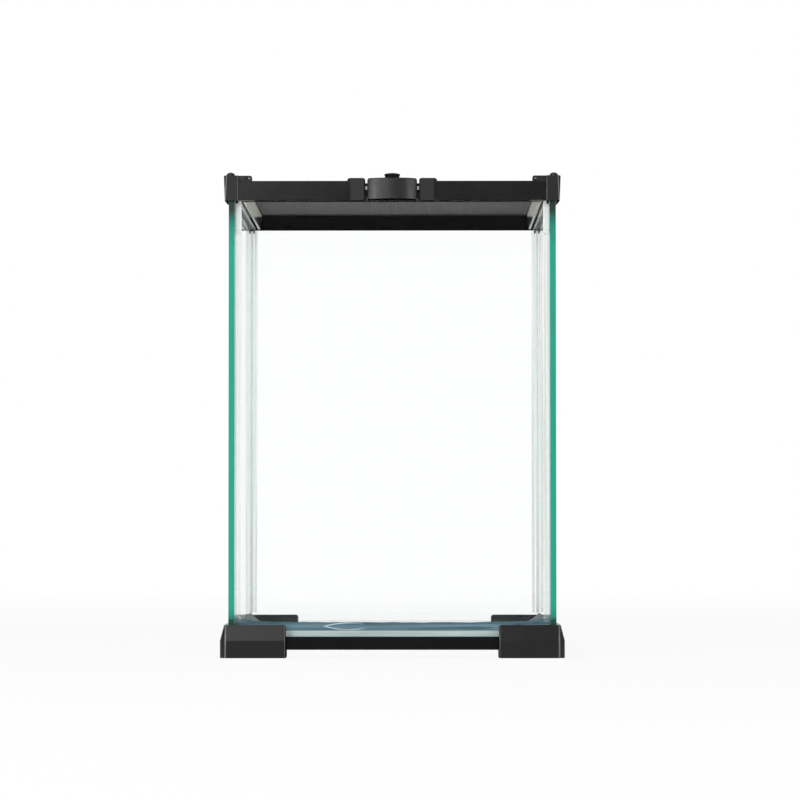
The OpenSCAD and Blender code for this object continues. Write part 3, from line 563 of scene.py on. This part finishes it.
sheenWallSetup = {
    "patchScale": 70.0,
    "streakScale": 240.0,
    "stretch": (1.0, 0.25, 1.0),
    "height": 0.2823,
    "slope": 0.104,  # the painted sheen thins out towards the rear
    "sharp": 1100,
    "ragged": 2,
    "film": ((0.40, 0.41, 0.36, 1), (0.80, 0.81, 0.74, 1)),
    "plastic": (0.003, 0.003, 0.003, 1),
    "rough": 0.30,
    "streakRough": 0.2,
    "level": 0.10,
}


def paintedSheenFilm(name, setup):  # painted sheen: a pale cream film painted over the inside of the side rails, thinning towards the rear
    material, f = newFinish(name)
    place = f.place()
    deep, up = f.axes(place)[1:]
    patch = f.noiseOf(place, setup["patchScale"], 4.0)
    streak = f.noiseOf(place, setup["streakScale"], 3.0, setup["stretch"])
    cover = ((up - setup["height"] - deep * setup["slope"]) * setup["sharp"]
             + (patch - 0.5) * setup["ragged"]).clamp()
    base = f.blendColour(cover, setup["plastic"], f.blendColour(streak, *setup["film"]))
    f.shown(Surface=f.principled({"Base Color": base, "Specular IOR Level": setup["level"],
                                  "Roughness": setup["rough"] + streak * setup["streakRough"]}))
    return material


footPlastic, basePlastic, rimPlastic, towerPlastic, paintedHighlightEdge, paintedShadePlastic, flapPlastic, \
    knobPlastic, innerPlastic = (mouldedPlastic(name, plastics) for name in plastics["kinds"])
blockPlastic = blockMoulding("blockPlastic", blockCoat)
pinSteel, rivetSteel = (drawnSteel(name, steels) for name in steels["kinds"])
faceGlass = floatGlass("faceGlass", glass)
edgeGlass = seamedEdge("edgeGlass", seamed, glass)
groundEdge, seamWhite, wire = (plainCoat(name, setup) for name, setup in plainCoats.items())
beadUpright = uprightSilicone("beadUpright", upright)
beadFloor = floorSilicone("beadFloor", cloudAndShade)
paintedSheenWall = paintedSheenFilm("paintedSheenWall", sheenWallSetup)
print("finishes ready")


def landed(name, shape, material, body, replaced, smoothAngle=None):  # a bmesh becomes a riding piece
    mesh = bpy.data.meshes.new(name)
    shape.to_mesh(mesh)
    shape.free()
    mesh.materials.append(material)
    piece = bpy.data.objects.new(name, mesh)
    scene.collection.objects.link(piece)
    if smoothAngle:
        mesh.shade_smooth()
        mesh.set_sharp_from_angle(angle=math.radians(smoothAngle))
    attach(piece, body)
    if replaced:
        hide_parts(*replaced)
    return piece


merging = {"apart": 2e-6, "bent": 0.5}  # metres and degrees


def mergedCopy(node):
    shape = bmesh.new()
    shape.from_mesh(nodes[node].data)
    bmesh.ops.remove_doubles(shape, verts=shape.verts, dist=merging["apart"])
    bmesh.ops.dissolve_limit(shape, angle_limit=math.radians(merging["bent"]), verts=shape.verts,
                             edges=shape.edges, delimit=set())
    return shape


wear = {
    "segments": 2,
    "least": 28.0,  # degrees between two faces, above which their edge is rounded
    "cornerLeast": 20.0,
    "cornerTall": 0.004,  # upright edges longer than this get the painted highlight
    "cornerUpright": 0.8,
    "cornerWiden": 1.2,
    "cornerSegments": 3,
    "steep": 0.5,
    "inward": -0.6,
    "wallFrom": 0.08,
    "under": -0.3,
    "smooth": 35,
}
mouldings = {
    "foot": {"width": 0.0005, "segments": 3, "least": 12.0},
    "rail": {"width": 0.00025},
    "block": {"width": 0.00035},
    "tower": {"width": 0.00035, "least": 18.0},
    "latch": {"width": 0.00015},
    "inner": {"width": 0.00012},
}
insideSlot, edgeSlot, shadeSlot = 1, 2, 3


def isAngled(edge, least):
    return len(edge.link_faces) == 2 and math.degrees(edge.calc_face_angle(0)) > least


def isCorner(edge, setup):
    rise = abs(edge.verts[0].co.z - edge.verts[1].co.z)
    return (isAngled(edge, setup["cornerLeast"]) and edge.is_convex
            and edge.calc_length() > setup["cornerTall"]
            and rise > setup["cornerUpright"] * edge.calc_length())


def rounded(shape, edges, width, segments):
    return bmesh.ops.bevel(shape, geom=edges, offset=width, offset_type="OFFSET", segments=segments,
                           profile=0.5, affect="EDGES", clamp_overlap=True, material=-1)["faces"]


def softened(name, node, material, body, kind, inside=None, edged=None, shaded=False):
    setup = wear | mouldings[kind]
    shape = mergedCopy(node)
    # edged: the upright corner edges are rounded and take the pale finish of the painted highlight
    if edged:
        corners = [e for e in shape.edges if isCorner(e, setup)]
        for face in rounded(shape, corners, setup["width"] * setup["cornerWiden"], setup["cornerSegments"]):
            face.material_index = edgeSlot
    edges = [e for e in shape.edges if isAngled(e, setup["least"])
             and all(face.material_index != edgeSlot for face in e.link_faces)]
    fresh = rounded(shape, edges, setup["width"], setup["segments"])
    shape.normal_update()
    # upright faces of the other rounded edges also take the painted highlight
    if edged:
        for face in fresh:
            if abs(face.normal.z) < setup["steep"]:
                face.material_index = edgeSlot
    bmesh.ops.triangulate(shape, faces=[f for f in shape.faces if len(f.verts) > 4])
    shape.normal_update()
    for face in shape.faces:
        middle = face.calc_center_median()
        inwards = min(face.normal.x * math.copysign(1, middle.x), face.normal.y * math.copysign(1, middle.y))
        # inward faces take the inside finish, which is painted shade on the feet and on the front and rear
        # rails
        if inside and inwards < setup["inward"] and max(abs(middle.x), abs(middle.y)) > setup["wallFrom"]:
            face.material_index = insideSlot
        # downward faces take the painted shade
        if shaded and face.normal.z < setup["under"]:
            face.material_index = shadeSlot
    piece = landed(name, shape, material, body, [node], setup["smooth"])
    for extra in (inside or material, edged or material, paintedShadePlastic):
        piece.data.materials.append(extra)
    flat = piece.modifiers.new("flatFaces", "WEIGHTED_NORMAL")
    flat.keep_sharp = True


for end in ("front", "rear"):
    for side in ("left", "right"):
        softened(f"{end}{side.title()}Foot", f"{end}_{side}_foot", footPlastic, "root",
                 "foot", inside=paintedShadePlastic, edged=paintedHighlightEdge, shaded=True)
        softened(f"{end}{side.title()}Block", f"{end}_{side}_block", blockPlastic, "root",
                 "block", edged=paintedHighlightEdge, shaded=True)
for side in ("front", "rear", "left", "right"):
    flank = side in ("left", "right")
    softened(f"{side}BaseRail", f"{side}_base_rail", basePlastic, "root", "rail")
    # the side rails' inner faces take the painted sheen, the front and rear rails' the painted shade
    softened(f"{side}RimRail", f"{side}_rim_rail", rimPlastic, "root", "rail",
             inside=paintedSheenWall if flank else paintedShadePlastic, shaded=not flank)
for side in ("left", "right"):
    softened(f"{side}LatchTower", f"{side}_latch_tower", towerPlastic, "root", "tower",
             edged=paintedHighlightEdge, shaded=True)
softened("latchFlap", "latch_flap", flapPlastic, "flap", "latch", shaded=True)
softened("lockKnob", "lock_knob", knobPlastic, "knob", "latch")
print("mouldings ready")


spring = {
    "reach": 0.00145,  # behind the pin's middle, where the tail leaves the coil
    "clearance": 0.0006,
    "smooth": 50,
}


def tiltingSpring(setup):  # the coil turns with the flap, and the tail stays in its hole in the rim
    pinLow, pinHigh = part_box("latch_pin")
    pinY = (pinLow[1] + pinHigh[1]) / 2
    for name, body, isTail in (("springCoil", "flap", False), ("springTail", "root", True)):
        shape = mergedCopy("latch_spring")
        cut = (0, pinY + setup["reach"] + setup["clearance"] * isTail, 0)
        bmesh.ops.bisect_plane(shape, geom=shape.verts[:] + shape.edges[:] + shape.faces[:], plane_co=cut,
                               plane_no=(0, 1, 0), clear_outer=not isTail, clear_inner=isTail)
        bmesh.ops.holes_fill(shape, edges=[e for e in shape.edges if e.is_boundary], sides=0)
        replaced = None if isTail else ["latch_spring"]
        landed(name, shape, rivetSteel, body, replaced, setup["smooth"])


tiltingSpring(spring)
print("spring ready")

paneCut = {
    "arris": 0.0001,
    "gap": 0.00003,  # a hair's gap to what the panes stand in
    "along": 0.9,
}


def pane(name, node, across, setup):  # across: the axis through the pane's thickness
    shape = mergedCopy(node)
    bmesh.ops.bevel(shape, geom=shape.edges[:], offset=setup["arris"], offset_type="OFFSET", segments=1,
                    profile=0.5, affect="EDGES", material=-1)
    shape.normal_update()
    for v in shape.verts:
        v.co -= v.normal * setup["gap"]
    for face in shape.faces:
        lean = [abs(c) for c in face.normal]
        if lean[across] < setup["along"]:
            face.material_index = 2 if lean[2] > setup["along"] else 1
    piece = landed(name, shape, faceGlass, "root", [node])
    piece.data.materials.append(edgeGlass)
    piece.data.materials.append(groundEdge)


for side in ("left", "right"):
    pane(f"{side}Pane", f"{side}_pane", 0, paneCut)
for end in ("front", "rear"):
    pane(f"{end}Pane", f"{end}_pane", 1, paneCut)
pane("floorPane", "floor_pane", 2, paneCut)
print("panes ready")

beads = {
    "gap": 0.00004,  # a hair off the glass that they seal
    "inward": 0.0060,
    "steps": 5,
    "hollow": 0.00025,
    "cuts": 150,
    "wave": 0.00030,
    "flankWave": 0.00140,
    "coarse": 55,
    "fine": 210,
    "fineShare": 0.7,
    "still": 0.1,  # the part next to the glass that has no waves
    "mitre": 1.05,  # of the width, past which the other wall's waves take over
    "cornerRise": 0.0030,
    "cornerReach": 0.011,
    "rearShare": 0.3,
    "smooth": 70,
    "uprightSmooth": 60,
    "seamCuts": 3,
}
paneLow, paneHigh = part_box("floor_pane")
wallX = -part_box("left_pane")[1][0]
wallY = -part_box("front_pane")[1][1]
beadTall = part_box("floor_silicone")[1][2] - paneHigh[2]


def ringOf(profile, cuts):  # carries a closed profile of (inward, up) points round the four walls
    shape = bmesh.new()
    bmesh.ops.create_grid(shape, x_segments=1, y_segments=1, size=1)
    bmesh.ops.delete(shape, geom=shape.faces[:], context="FACES_ONLY")
    bmesh.ops.subdivide_edges(shape, edges=shape.edges[:], cuts=cuts)
    inward, up = profile[0]
    bmesh.ops.scale(shape, verts=shape.verts, vec=(wallX - inward, wallY - inward, 1))
    bmesh.ops.translate(shape, verts=shape.verts, vec=(0, 0, up))
    first = edges = shape.edges[:]
    for nextIn, nextUp in profile[1:]:
        made = bmesh.ops.extrude_edge_only(shape, edges=edges)["geom"]
        verts = [g for g in made if isinstance(g, bmesh.types.BMVert)]
        fresh = set(verts)
        edges = [g for g in made if isinstance(g, bmesh.types.BMEdge) and fresh.issuperset(g.verts)]
        bmesh.ops.scale(shape, verts=verts, vec=((wallX - nextIn) / (wallX - inward),
                                                 (wallY - nextIn) / (wallY - inward), 1))
        bmesh.ops.translate(shape, verts=verts, vec=(0, 0, nextUp - up))
        inward, up = nextIn, nextUp
    bmesh.ops.bridge_loops(shape, edges=first + edges)
    bmesh.ops.recalc_face_normals(shape, faces=shape.faces)
    return shape


def floorBeadRing(setup):
    gap, wide, low = setup["gap"], setup["inward"], paneHigh[2]
    profile = [(gap, low + gap)]
    for k in range(setup["steps"] + 1):
        t = k / setup["steps"]
        sag = setup["hollow"] * math.sin(math.pi * t)
        profile.append((gap + wide * (1 - t) - sag, low + gap + beadTall * t - sag))
    profile[1] = (gap + wide, low + gap)
    shape = ringOf(profile, setup["cuts"])
    for v in shape.verts:
        inX, inY = wallX - abs(v.co.x), wallY - abs(v.co.y)
        size = setup["flankWave"] if inX < inY else setup["wave"]
        push = size * (noise.noise(v.co * setup["coarse"])
                       + setup["fineShare"] * noise.noise(v.co * setup["fine"]))
        rise, away = (v.co.z - low) / beadTall, min(inX, inY) / wide
        if rise > setup["still"]:
            share = 1 if v.co.y < 0 else setup["rearShare"]
            corner = math.exp(-max(inX, inY) / setup["cornerReach"]) * share
            v.co.z += (push + setup["cornerRise"] * corner) * rise
        if away > setup["still"] and inX < wide * setup["mitre"]:
            v.co.x -= math.copysign(push * away, v.co.x)
        if away > setup["still"] and inY < wide * setup["mitre"]:
            v.co.y -= math.copysign(push * away, v.co.y)
    landed("floorBead", shape, beadFloor, "root", ["floor_silicone"], setup["smooth"])


def uprightBeads(setup):
    shape = mergedCopy("corner_silicone")
    shape.normal_update()
    for v in shape.verts:
        v.co -= v.normal * setup["gap"]
    landed("cornerBeads", shape, beadUpright, "root", ["corner_silicone"],
           setup["uprightSmooth"])


def floorSeam(setup):  # milky seam between the floor pane's edge and the walls, seen under the bead
    gap = setup["gap"]
    wide = paneLow[1] + wallY - gap
    low, high = paneLow[2] + gap, paneHigh[2] - gap
    shape = ringOf([(gap, low), (wide, low), (wide, high), (gap, high)], setup["seamCuts"])
    landed("floorSeam", shape, seamWhite, "root", None)


floorBeadRing(beads)
uprightBeads(beads)
floorSeam(beads)
print("silicone ready")

# the inlet guides and shutters are given the painted shade finish
for node, body in (("lid_frame", "lid"), ("mesh_clamp", "lid"), ("left_lid_knuckle", "lid"),
                   ("right_lid_knuckle", "lid"), ("left_hinge_bracket", "root"),
                   ("right_hinge_bracket", "root"), ("left_inlet_guide", "root"),
                   ("right_inlet_guide", "root"), ("left_inlet_shutter", "left_shutter"),
                   ("right_inlet_shutter", "right_shutter")):
    words = node.split("_")
    softened(words[0] + "".join(w.title() for w in words[1:]), node,
             paintedShadePlastic if "inlet" in node else innerPlastic, body, "inner")

finishOf = {
    beadUpright: ["rim_silicone"],
    pinSteel: ["left_hinge_pin", "right_hinge_pin", "latch_pin", "lock_tongue", "tongue_clip"],
    rivetSteel: ["arm_rivets", "hinge_screws"],
}
for finish, members in finishOf.items():
    for member in members:
        for slot in nodes[member].material_slots:
            slot.material = finish
print("carried nodes finished")

cloth = {
    "pitch": 0.0016,
    "radius": 0.00019,
    "sides": 3,
    "halfWidth": 0.0914,
    "lift": 0.9,  # of the radius, up over one wire and down under the next
    "smooth": 80,
}
sheetLow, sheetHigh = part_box("lid_mesh")
sheetZ = (sheetLow[2] + sheetHigh[2]) / 2


def wovenWires(name, alongX, setup):  # one set of wires, each rising and dipping over the other set's
    half, pitch, radius = setup["halfWidth"], setup["pitch"], setup["radius"]
    count = int(2 * half / pitch)
    shape = bmesh.new()
    ring = bmesh.ops.create_circle(shape, segments=setup["sides"], radius=radius)["verts"]
    bmesh.ops.rotate(shape, verts=ring, cent=(0, 0, 0), matrix=Matrix.Rotation(math.radians(90), 3, "Y"))
    bmesh.ops.translate(shape, verts=ring, vec=(-half, 0, 0))
    edges = list({e for v in ring for e in v.link_edges})
    for step in range(2 * count):
        made = bmesh.ops.extrude_edge_only(shape, edges=edges)["geom"]
        verts = [g for g in made if isinstance(g, bmesh.types.BMVert)]
        edges = [g for g in made if isinstance(g, bmesh.types.BMEdge)
                 and all(v in verts for v in g.verts)]
        bmesh.ops.translate(shape, verts=verts, vec=(half / count, 0, 0))
    shape.verts.ensure_lookup_table()
    for v in shape.verts:
        v.co.z += radius * setup["lift"] * math.cos(math.pi * (v.co.x + half) / (2 * half / count))
    first = shape.verts[:] + shape.edges[:] + shape.faces[:]
    for i in range(1, count):
        copy = bmesh.ops.duplicate(shape, geom=first)["geom"]
        verts = [g for g in copy if isinstance(g, bmesh.types.BMVert)]
        bmesh.ops.translate(shape, verts=verts, vec=(0, i * pitch, 0))
        if i % 2:
            bmesh.ops.scale(shape, verts=verts, vec=(1, 1, -1))
    bmesh.ops.translate(shape, verts=shape.verts, vec=(0, -(count - 1) * pitch / 2, 0))
    if not alongX:
        bmesh.ops.rotate(shape, verts=shape.verts, cent=(0, 0, 0),
                         matrix=Matrix.Rotation(math.radians(90), 3, "Z"))
        bmesh.ops.scale(shape, verts=shape.verts, vec=(1, 1, -1))
    bmesh.ops.translate(shape, verts=shape.verts, vec=(0, 0, sheetZ))
    bmesh.ops.recalc_face_normals(shape, faces=shape.faces)
    landed(name, shape, wire, "lid", ["lid_mesh"], setup["smooth"])


wovenWires("meshWarp", True, cloth)
wovenWires("meshWeft", False, cloth)
print("mesh woven")
